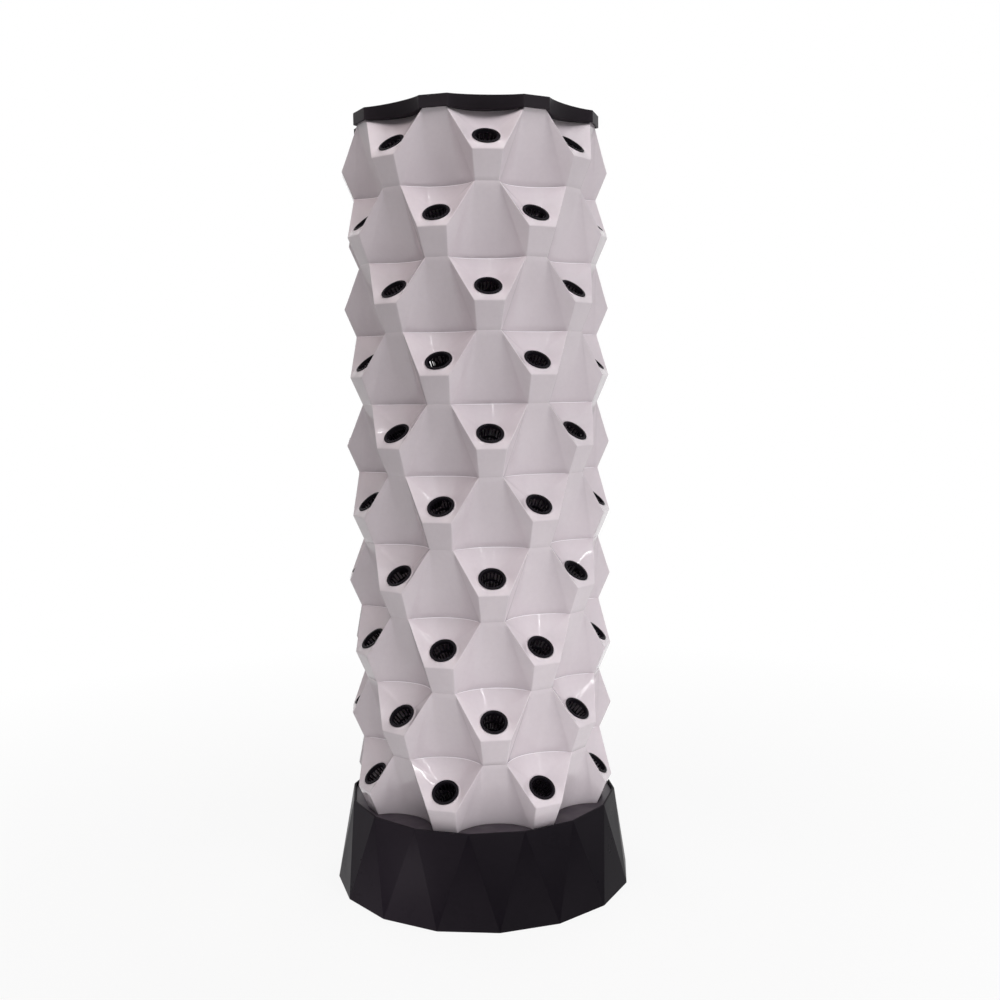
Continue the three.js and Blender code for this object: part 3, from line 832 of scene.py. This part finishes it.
@dataclass
class NetCups:
    """Slotted net cups, one in every hole."""

    layers: PlantingLayers
    first_single: int = 7
    flange_radius: float = 0.0260
    flange_thickness: float = 0.002
    flange_round: float = 0.3
    sharp_angle: float = 38.0
    top_radius: float = 0.0226
    bottom_radius: float = 0.0155
    length: float = 0.050
    wall: float = 0.0016
    slots: int = 18
    cells_in_slot: int = 3
    tiers: tuple[Pair, ...] = ((0.005, 0.022), (0.026, 0.045))
    floor_rings: tuple[float, ...] = (0.0135, 0.0060)
    hub_radius: float = 0.0028

    def build(self) -> None:
        """Build all cups, those of the lower layers joined layer by layer."""
        for number in range(1, self.layers.count + 1):
            skin = Skin()
            top = self.layers.span(number)[1]
            for k in range(self.layers.seam.pockets):
                turn = self.layers.turn(number) + k * self.layers.seam.step
                matrix = self.layers.hole.frame_at(turn, top)
                if number < self.first_single:
                    self._cup(skin, matrix)
                    continue
                single = Skin()
                self._cup(single, matrix)
                label = f"{number:02d}_{k + 1}"
                self._dress(single, f"slotted_cup_{label}", f"net_cup_{label}_body", [f"net_cup_{label}"])
            if number < self.first_single:
                self._dress(skin, f"slotted_cups_of_layer_{number:02d}", Body.TOWER.value, [])

    def _dress(self, skin: Skin, name: str, body: str, nodes: list[str]) -> None:
        """Make the piece and give it its finish."""
        piece = skin.build(name)
        crease(piece, self.sharp_angle)
        dress(piece, Finish.CUP, body, nodes)

    def _stations(self) -> list[tuple[Pair, Pair, bool]]:
        """Stations along the cup's section, from its flange to the middle of its floor.

        Returns:
            The outer and inner point of each, and whether slots open after it.
        """
        def wall_at(depth: float, is_open: bool) -> tuple[Pair, Pair, bool]:
            """Station on the tapered wall, at a depth under the flange."""
            radius = self.top_radius + (self.bottom_radius - self.top_radius) * depth / self.length
            return (radius, -depth), (radius - self.wall, -depth), is_open

        rim, high = self.flange_radius, self.flange_thickness
        cut = high * self.flange_round
        made = [
            ((rim, cut), (rim, high - cut), False),
            ((rim - cut, 0.0), (rim - cut, high), False),
            ((self.top_radius, 0.0), (self.top_radius - self.wall, high), False),
        ]
        for start, end in self.tiers:
            made += [wall_at(start, True), wall_at(end, False)]
        floor = self.wall - self.length
        made.append(((self.bottom_radius, -self.length), (self.bottom_radius - self.wall, floor), False))
        for radius, is_open in zip((*self.floor_rings, self.hub_radius), (True, False, False)):
            made.append(((radius, -self.length), (radius, floor), is_open))
        made.append(((0.0, -self.length), (0.0, floor), False))
        return made

    def _cup(self, skin: Skin, matrix: Matrix) -> None:
        """Add one cup to a skin, cell by cell, leaving its slots open.

        Args:
            skin: the faces that the cup joins.
            matrix: carries the cup from +Z onto its hole's axis.
        """
        around = self.slots * self.cells_in_slot
        lift = Matrix.Translation((0.0, 0.0, GAP))
        stations = self._stations()

        def spot(i: int, j: int, side: int) -> Vector:
            """Point at a station and a step round, on the outer or the inner side."""
            radius, height = stations[i][side]
            return matrix @ lift @ at(j % around * 360 / around, radius, 0.0, height)

        def is_open(i: int, j: int) -> bool:
            """Whether a cell is part of a slot, or lies past an end of the section."""
            inside = 0 <= i < len(stations) - 1
            return not inside or (stations[i][2] and j % self.cells_in_slot != 0)

        for i in range(len(stations) - 1):
            for j in range(around):
                if is_open(i, j):
                    continue
                for side in (0, 1):
                    skin.face((spot(i, j, side), spot(i, j + 1, side),
                               spot(i + 1, j + 1, side), spot(i + 1, j, side)))
                for near, a, b in (
                    ((i - 1, j), (i, j), (i, j + 1)), ((i + 1, j), (i + 1, j), (i + 1, j + 1)),
                    ((i, j - 1), (i, j), (i + 1, j)), ((i, j + 1), (i, j + 1), (i + 1, j + 1)),
                ):
                    if is_open(*near):
                        skin.face((spot(*a, 0), spot(*b, 0), spot(*b, 1), spot(*a, 1)))


@dataclass
class WaterTank:
    """The faceted tank, its deck and its cable grommet."""

    seam: Seam = Seam()
    sides: int = 16
    rim_radius: float = 0.2712
    wall: float = 0.004
    ledge_width: float = 0.017
    ledge_thickness: float = 0.004
    ledge_top: float = 0.1519
    hole_radius: float = 0.008
    hole_drop: float = 0.050
    hole_tool: float = 0.1
    hole_sides: int = 32
    edge_width: float = 0.0022
    tank_fold: float = 6.0
    deck_fold: float = 30.0
    deck_slip: float = 0.0005
    mouth_slips: Pair = (0.0008, 0.0039)
    drain_radius: float = 0.036
    drain_reach: float = 0.105
    drain_count: int = 4
    centre_radius: float = 0.016
    round_sides: int = 64
    grommet: tuple[Pair, ...] = (
        (0.0035, 0.0020), (0.0035, -0.0075), (0.0092, -0.0075), (0.0102, -0.0065),
        (0.0102, -0.0050), (0.0077, -0.0050), (0.0077, GAP), (0.0114, GAP),
        (0.0120, 0.0009), (0.0112, 0.0020), (0.0050, 0.0028))
    sharp_angle: float = 50.0

    def build(self) -> None:
        """Build the tank, the deck and the grommet."""
        self._tank()
        self._deck()
        self._grommet()

    def _ring(self, radius: float, height: float, half_step: bool) -> list[Vector]:
        """Corners of one of the tank's sixteen-sided rings."""
        shift = 0.5 if half_step else 0.0
        return [at((i + shift) * 360 / self.sides, radius, 0.0, height) for i in range(self.sides)]

    @staticmethod
    def _facets(skin: Skin, lower: list[Vector], upper: list[Vector]) -> None:
        """Join two rings that are half a step apart by triangles.

        Args:
            skin: the tank's faces.
            lower: corners of the lower ring.
            upper: corners of the upper ring.
        """
        for i, corner in enumerate(lower):
            k = (i + 1) % len(lower)
            skin.face((corner, lower[k], upper[i]))
            skin.face((upper[i], lower[k], upper[k]))

    def _tank(self) -> None:
        """Build the tank with its ledge and its cable hole."""
        low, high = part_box("base_tank")
        foot_radius = high.x
        skin = Skin()
        bore = self.rim_radius - self.wall
        foot = self._ring(foot_radius, low.z, False)
        rim = self._ring(self.rim_radius, high.z, True)
        under = self.ledge_top - self.ledge_thickness
        steps = [(bore, high.z), (bore, self.ledge_top), (bore - self.ledge_width, self.ledge_top),
                 (bore - self.ledge_width, under), (bore, under)]
        rings = [self._ring(radius, height, True) for radius, height in steps]
        floor = self._ring(foot_radius - self.wall, self.wall, False)
        skin.face(foot)
        self._facets(skin, foot, rim)
        skin.grid([rim, *rings], closed=True)
        self._facets(skin, floor, rings[-1])
        skin.face(floor)
        piece = skin.build("faceted_tank")
        tool = plug("cable_hole_tool", self.hole_radius, -self.hole_tool, self.hole_tool, self.hole_sides)
        combine(piece, [moved(tool, self._back_frame())], Join.CUT)
        round_edges(piece, self.edge_width, self.tank_fold)
        dress(piece, Finish.TANK, Body.TOWER.value, ["base_tank"])

    def _back_frame(self) -> Matrix:
        """Find the place of the cable hole.

        Returns:
            A matrix that carries a piece made along +Z to the back facet, square to it.
        """
        low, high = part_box("base_tank")
        flat = self.rim_radius * math.cos(math.pi / self.sides)
        lean = math.atan2(high.x - flat, high.z)
        reach = flat + self.hole_drop * math.tan(lean)
        spot = Matrix.Translation((0.0, reach, high.z - self.hole_drop))
        return spot @ Matrix.Rotation(lean - math.pi / 2, 4, "X")

    def _deck(self) -> None:
        """Build the deck with its scalloped seat and its drains."""
        low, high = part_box("tank_deck")
        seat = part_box("planting_layer_01")[0].z - GAP
        layers = PlantingLayers()
        bottom = layers.span(1)[0]
        radius = self.rim_radius - self.wall - self.deck_slip
        turn = layers.turn(layers.count) + self.seam.step / 2 * layers.count
        deck = prism("scalloped_deck", self._ring(radius, 0.0, True), low.z, high.z)
        near, far = self.mouth_slips
        beyond = far + (far - near) * OVERRUN / (high.z - bottom)
        mouth = [self.seam.outline(turn, bottom, -near),
                 self.seam.outline(turn, high.z + OVERRUN, -beyond)]
        tools = [
            prism("seat_tool", self.seam.outline(turn, inset=-self.deck_slip), seat, high.z + OVERRUN),
            loft("mouth_tool", mouth),
        ]
        drains = ((0.0, self.centre_radius, 1), (self.drain_reach, self.drain_radius, self.drain_count))
        for reach, size, count in drains:
            for i in range(count):
                spot = at((i + 0.5) * 360 / count, reach, 0.0, 0.0)
                tool = plug("drain_tool", size, low.z - OVERRUN, seat + OVERRUN, self.round_sides)
                tools.append(moved(tool, Matrix.Translation(spot)))
        combine(deck, tools, Join.CUT)
        round_edges(deck, self.edge_width / 2, self.deck_fold)
        dress(deck, Finish.DECK, Body.TOWER.value, ["tank_deck"])

    def _grommet(self) -> None:
        """Build the rubber grommet in the cable hole."""
        piece = lathe("ribbed_grommet", self.grommet, self.round_sides, loop=True)
        moved(piece, self._back_frame())
        crease(piece, self.sharp_angle)
        dress(piece, Finish.RUBBER, Body.TOWER.value, ["cable_grommet"])


@dataclass
class Crown:
    """The cover, the drip tray and the sprinkler head at the top of the tower."""

    seam: Seam = Seam()
    overhang: float = 0.006
    plate: float = 0.003
    rim: float = 0.012
    foot_share: float = 0.6
    top_share: float = 0.27
    cover_slip: float = 0.002
    tray_thickness: float = 0.0025
    tray_inset: float = 0.0006
    cover_edge: float = 0.0012
    cover_fold: float = 30.0
    tray_edge: float = 0.0006
    tray_fold: float = 35.0
    dish_radius: float = 0.172
    dish_corner: float = 0.006
    inner_corner: float = 0.007
    drip_radius: float = 0.003
    drip_reach: float = 0.148
    drip_count: int = 16
    drip_sides: int = 16
    bore: float = 0.013
    round_sides: int = 96
    socket_bore: float = 0.0128
    socket_wall: float = 0.0027
    socket_chamfer: float = 0.001
    socket_rounding: float = 0.0006
    fillet: Pair = (0.003, 0.002)
    brim: Pair = (0.0008, 0.0018)
    cap_rise: float = 0.0045
    crown_drop: float = 0.0008
    cap_shares: tuple[float, ...] = (0.92, 0.60, 0.55)
    sharp_angle: float = 50.0

    def build(self) -> None:
        """Build the three pieces."""
        self._cover()
        self._tray()
        self._head()

    def _cover_outline(self, share: float, height: float) -> list[Vector]:
        """An outline of the cover.

        Args:
            share: how deep its scallops are, as a share of the seam's.
            height: height of the outline.

        Returns:
            The points.
        """
        made = []
        for i in range(self.seam.pockets):
            points = self.seam.scallop(i * self.seam.step, height, -self.overhang)
            chord = points[-1] - points[0]
            for point in points:
                along = (point - points[0]).dot(chord) / chord.length_squared
                made.append((points[0] + chord * along).lerp(point, share))
        return made

    def _cover(self) -> None:
        """Build the scalloped cover, whose scallops are shallower at its top than at its foot."""
        low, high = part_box("top_cover")
        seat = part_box("drip_tray")[1].z + GAP
        cover = loft("scalloped_cover", [self._cover_outline(self.foot_share, low.z),
                                         self._cover_outline(self.top_share, high.z)])
        inner = self.seam.outline(0.0, inset=self.rim - self.overhang)
        skirt = self.seam.outline(0.0, inset=-self.cover_slip)
        tools = [prism("hollow_tool", inner, seat - OVERRUN, high.z - self.plate),
                 prism("skirt_tool", skirt, low.z - OVERRUN, seat)]
        combine(cover, tools, Join.CUT)
        round_edges(cover, self.cover_edge, self.cover_fold)
        dress(cover, Finish.COVER, Body.COVER.value, ["top_cover"])

    def _tray(self) -> None:
        """Build the drip tray with its dish and its drip holes."""
        low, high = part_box("drip_tray")
        plate_low = high.z - self.tray_thickness
        tray = prism("drip_tray_plate", self.seam.outline(0.0, inset=self.tray_inset), plate_low, high.z)
        radius, wall = self.dish_radius, self.tray_thickness
        inner = radius - wall
        hollow = plug("dish_hollow_tool", inner, plate_low - OVERRUN, high.z + OVERRUN, self.round_sides)
        combine(tray, [hollow], Join.CUT)
        slope = radius - self.dish_corner
        dish = lathe("dish", [
            (self.bore, low.z), (slope, low.z), (radius, low.z + self.dish_corner), (radius, high.z),
            (inner, high.z), (inner, low.z + self.inner_corner), (slope - wall / 2, low.z + wall),
            (self.bore, low.z + wall)], self.round_sides, loop=True)
        combine(tray, [dish], Join.ADD)
        drips = []
        for i in range(self.drip_count):
            spot = Matrix.Translation(at(i * 360 / self.drip_count, self.drip_reach, 0.0, 0.0))
            tool = plug("drip_tool", self.drip_radius, low.z - OVERRUN, low.z + wall + OVERRUN,
                        self.drip_sides)
            drips.append(moved(tool, spot))
        combine(tray, drips, Join.CUT)
        round_edges(tray, self.tray_edge, self.tray_fold)
        dress(tray, Finish.TRAY, Body.TRAY.value, ["drip_tray"])

    def _head(self) -> None:
        """Build the mushroom head that throws the water."""
        low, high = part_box("sprinkler_head")
        radius = high.x
        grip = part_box("riser_pipe_3")[1].z
        bore, cut = self.socket_bore, self.socket_chamfer
        outer = bore + self.socket_wall
        flare, drop = self.fillet
        under, over = (grip + height for height in self.brim)
        shoulder, crown, tip = (radius * share for share in self.cap_shares)
        profile = [
            (0.0, grip + GAP), (bore, grip + GAP), (bore, low.z + cut), (bore + cut, low.z),
            (outer - self.socket_rounding, low.z), (outer, low.z + cut), (outer, grip - drop),
            (outer + flare, grip), (radius - cut, under), (radius, over), (shoulder, grip + self.cap_rise),
            (crown, high.z - self.crown_drop), (tip, high.z), (0.0, high.z),
        ]
        head = lathe("mushroom_head", profile, self.round_sides)
        crease(head, self.sharp_angle)
        dress(head, Finish.PIPE, Body.TRAY.value, ["sprinkler_head"])


@dataclass
class Riser:
    """Three lengths of pipe with a coupling under each."""

    count: int = 3
    pipe_wall: float = 0.002
    coupling_wall: float = 0.0027
    chamfer: float = 0.0006
    rib: float = 0.0012
    rib_length: float = 0.007
    sides: int = 48
    sharp_angle: float = 40.0

    def build(self) -> None:
        """Build pipes and couplings."""
        for i in range(1, self.count + 1):
            self._tube(f"riser_pipe_{i}", f"white_pipe_{i}", self.pipe_wall, 0.0)
            self._tube(f"riser_coupling_{i}", f"pipe_socket_{i}", self.coupling_wall, self.rib)

    def _tube(self, node: str, name: str, wall: float, rib: float) -> None:
        """Build one tube over its CAD node, with chamfered ends.

        Args:
            node: the CAD node that it stands for.
            name: its own name.
            wall: its wall.
            rib: how proud the rib at each end is, or zero for none.
        """
        low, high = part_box(node)
        outer, cut = high.x - rib, self.chamfer
        inner = high.x - wall
        ends = self.rib_length
        profile = [(inner, low.z), (outer - cut, low.z), (outer, low.z + cut)]
        if rib:
            profile = [(inner, low.z), (high.x - cut, low.z), (high.x, low.z + cut),
                       (high.x, low.z + ends), (outer, low.z + ends + rib),
                       (outer, high.z - ends - rib), (high.x, high.z - ends)]
        profile += [(high.x, high.z - cut), (high.x - cut, high.z), (inner, high.z)]
        tube = lathe(name, profile, self.sides, loop=True)
        crease(tube, self.sharp_angle)
        dress(tube, Finish.PIPE, Body.TOWER.value, [node])


@dataclass
class PumpLooks:
    """Finishes of the pump's CAD nodes, whose shapes are right as they are."""

    finishes: tuple[tuple[str, Finish], ...] = (
        ("pump_base_plate", Finish.RUBBER),
        ("pump_motor_housing", Finish.PUMP),
        ("pump_volute", Finish.PUMP),
        ("pump_volute_cover", Finish.PUMP),
        ("pump_strainer", Finish.PUMP),
        ("pump_impeller", Finish.IMPELLER),
    )

    def build(self) -> None:
        """Give each node its finish."""
        for node, finish in self.finishes:
            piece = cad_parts[node]
            piece.data.materials.clear()
            piece.data.materials.append(finish.value.material())
            LOG.info("%s keeps its CAD shape in %s", node, finish.value.name)


@dataclass(frozen=True)
class PhotoCamera:
    """The camera of the photo, found by least squares. Angles are radians."""

    distance: float = 2.409
    height: float = 1.0011
    turn: float = 0.0917
    yaw: float = -0.0182
    pitch: float = -0.0614
    roll: float = -0.0129
    focal_pixels: float = 1179.7
    photo_pixels: float = 1000.0
    centre_row: float = 460.0
    sensor: float = 36.0

    def build(self) -> None:
        """Make the camera and use it."""
        data = bpy.data.cameras.new("photo_camera")
        data.sensor_width = self.sensor
        data.lens = self.focal_pixels / self.photo_pixels * self.sensor
        data.shift_y = (self.centre_row - self.photo_pixels / 2) / self.photo_pixels
        camera = placed("photo_camera", data)
        turned = (Matrix.Rotation(self.roll, 3, "Y") @ Matrix.Rotation(-self.pitch, 3, "X")
                  @ Matrix.Rotation(-self.yaw, 3, "Z") @ Matrix.Rotation(self.turn, 3, "Z"))
        right, ahead, up = turned
        matrix = Matrix((right, up, -ahead)).transposed().to_4x4()
        spot = (-self.distance * math.sin(self.turn), -self.distance * math.cos(self.turn), self.height)
        camera.matrix_world = Matrix.Translation(spot) @ matrix
        bpy.context.scene.camera = camera
        LOG.info("camera stands %.2f m from the axis", self.distance)


@dataclass(frozen=True)
class Lamp:
    """A soft rectangular lamp that looks at a point on the tower's axis.

    Its last field names the one piece that it lights, where it isn't meant for all.
    """

    name: str
    turn: float
    reach: float
    height: float
    aim: float
    width: float
    tall: float
    watts: float
    colour: Colour = WHITE
    in_gloss: bool = False
    spread: float = 180.0
    only: str = ""

    def build(self) -> None:
        """Make the lamp."""
        data = bpy.data.lights.new(self.name, "AREA")
        data.shape = "RECTANGLE"
        data.size = self.width
        data.size_y = self.tall
        data.energy = self.watts
        data.color = self.colour
        data.spread = math.radians(self.spread)
        lamp = placed(self.name, data)
        spot = at(self.turn, self.reach, 0.0, self.height)
        look = (Vector((0.0, 0.0, self.aim)) - spot).to_track_quat("-Z", "Y")
        lamp.matrix_world = Matrix.Translation(spot) @ look.to_matrix().to_4x4()
        lamp.visible_camera = False
        lamp.visible_glossy = self.in_gloss
        if self.only:
            lit = bpy.data.collections.new(f"lit_by_{self.name}")
            lit.objects.link(bpy.data.objects[self.only])
            lamp.light_linking.receiver_collection = lit
        LOG.info("%s shines %.1f W", self.name, self.watts)


@dataclass
class Studio:
    """Pale floor, white surroundings and soft lamps."""

    floor_size: float = 60.0
    floor_colour: Colour = (0.74, 0.74, 0.74)
    near_glow: float = 0.88
    fade: Pair = (0.7, 2.2)
    fill: float = 0.12
    speck_scale: float = 1.5
    speck_ends: Pair = (0.3, 0.7)
    speck_shade: float = 0.99
    lamps: tuple[Lamp, ...] = (
        Lamp("high_left", -65.0, 1.51, 3.04, 0.8, 1.3, 1.3, 8.0, (1.0, 0.88, 0.80)),
        Lamp("high_front_left", -35.0, 1.51, 3.04, 0.8, 1.3, 1.3, 12.5, (1.0, 0.95, 0.96)),
        Lamp("high_front_right", 25.0, 1.51, 3.04, 0.8, 1.3, 1.3, 18.0),
        Lamp("high_right", 55.0, 1.51, 3.04, 0.8, 1.3, 1.3, 6.5),
        Lamp("low_front", 18.0, 1.9, 0.38, 0.35, 1.2, 0.7, 5.5),
        Lamp("foot_front", -2.0, 1.7, 0.80, 0.20, 1.0, 0.5, 0.5, spread=50.0),
        Lamp("low_right", 68.0, 1.9, 0.38, 0.35, 1.0, 0.7, 5.5),
        Lamp("back_left", -150.0, 2.45, 1.94, 0.8, 1.3, 1.3, 19.0),
        Lamp("back_right", 150.0, 2.45, 1.94, 0.8, 1.3, 1.3, 19.0),
        Lamp("streak_strip", 34.0, 2.7, 2.6, 0.8, 0.035, 1.6, 7.0, in_gloss=True),
        Lamp("ceiling_strip", -5.25, 0.5, 3.6, 0.85, 0.022, 5.0, 10.0, in_gloss=True),
        Lamp("tank_kicker", -49.4, 0.61, 0.055, 0.055, 0.30, 0.10, 1.2, (1.0, 0.90, 0.96),
             in_gloss=True, only="faceted_tank"),
    )

    def build(self) -> None:
        """Make the floor, the surroundings and the lamps."""
        bpy.context.scene.view_settings.view_transform = "Standard"
        self._floor()
        self._surroundings()
        for lamp in self.lamps:
            lamp.build()

    @staticmethod
    def _seen_directly(shader: Shader) -> Value:
        """Tell rays that see the white room from those that only carry light.

        Args:
            shader: the tree that the nodes go into.

        Returns:
            One for rays from the camera, from gloss and through glass, zero for the rest.
        """
        path = shader.add("ShaderNodeLightPath", {}, {})
        rays = [shader.value(path, name) for name in
                ("Is Camera Ray", "Is Glossy Ray", "Is Transmission Ray")]
        return (rays[0] + rays[1] + rays[2]).clipped()

    def _floor(self) -> None:
        """Make the floor, which takes the tower's shadow and fades to the white room further out."""
        half = self.floor_size / 2
        skin = Skin()
        corners = ((-half, -half), (half, -half), (half, half), (-half, half))
        skin.face([Vector((x, y, 0.0)) for x, y in corners])
        floor = skin.build("studio_floor")
        shader = Shader(bpy.data.materials.new("pale_floor"))
        speck = shader.between(shader.noise(self.speck_scale, 2.0), *self.speck_ends)
        dark = tuple(v * self.speck_shade for v in self.floor_colour)
        colour = shader.blend(speck, dark, self.floor_colour)
        matt = shader.add("ShaderNodeBsdfDiffuse", {}, {"Color": colour})
        glow = shader.add("ShaderNodeEmission", {}, {"Strength": 1.0})
        away = shader.between(shader.distance(), *self.fade)
        share = self._seen_directly(shader) * (away * (1 - self.near_glow) + self.near_glow)
        mixed = shader.add("ShaderNodeMixShader", {},
                           {0: share, 1: matt.outputs[0], 2: glow.outputs[0]})
        floor.data.materials.append(shader.finish(mixed.outputs[0]))
        LOG.info("floor made")

    def _surroundings(self) -> None:
        """Make the world: white where it is seen, and a soft fill light elsewhere."""
        shader = Shader(bpy.data.worlds.new("white_room"))
        seen = self._seen_directly(shader)
        fill, white = (
            shader.add("ShaderNodeBackground", {}, {"Color": (*WHITE, 1.0), "Strength": strength})
            for strength in (self.fill, 1.0))
        mixed = shader.add("ShaderNodeMixShader", {},
                           {0: seen, 1: fill.outputs[0], 2: white.outputs[0]})
        bpy.context.scene.world = shader.finish(mixed.outputs[0])
        LOG.info("surroundings made")


def main() -> None:
    """Build the stage and every sub-assembly in order."""
    logging.basicConfig(level=logging.INFO, format="%(name)s: %(message)s")
    PhotoCamera().build()
    layers = PlantingLayers()
    layers.build()
    NetCups(layers).build()
    WaterTank().build()
    Crown().build()
    Riser().build()
    PumpLooks().build()
    Studio().build()


if __name__ == "__main__":
    main()
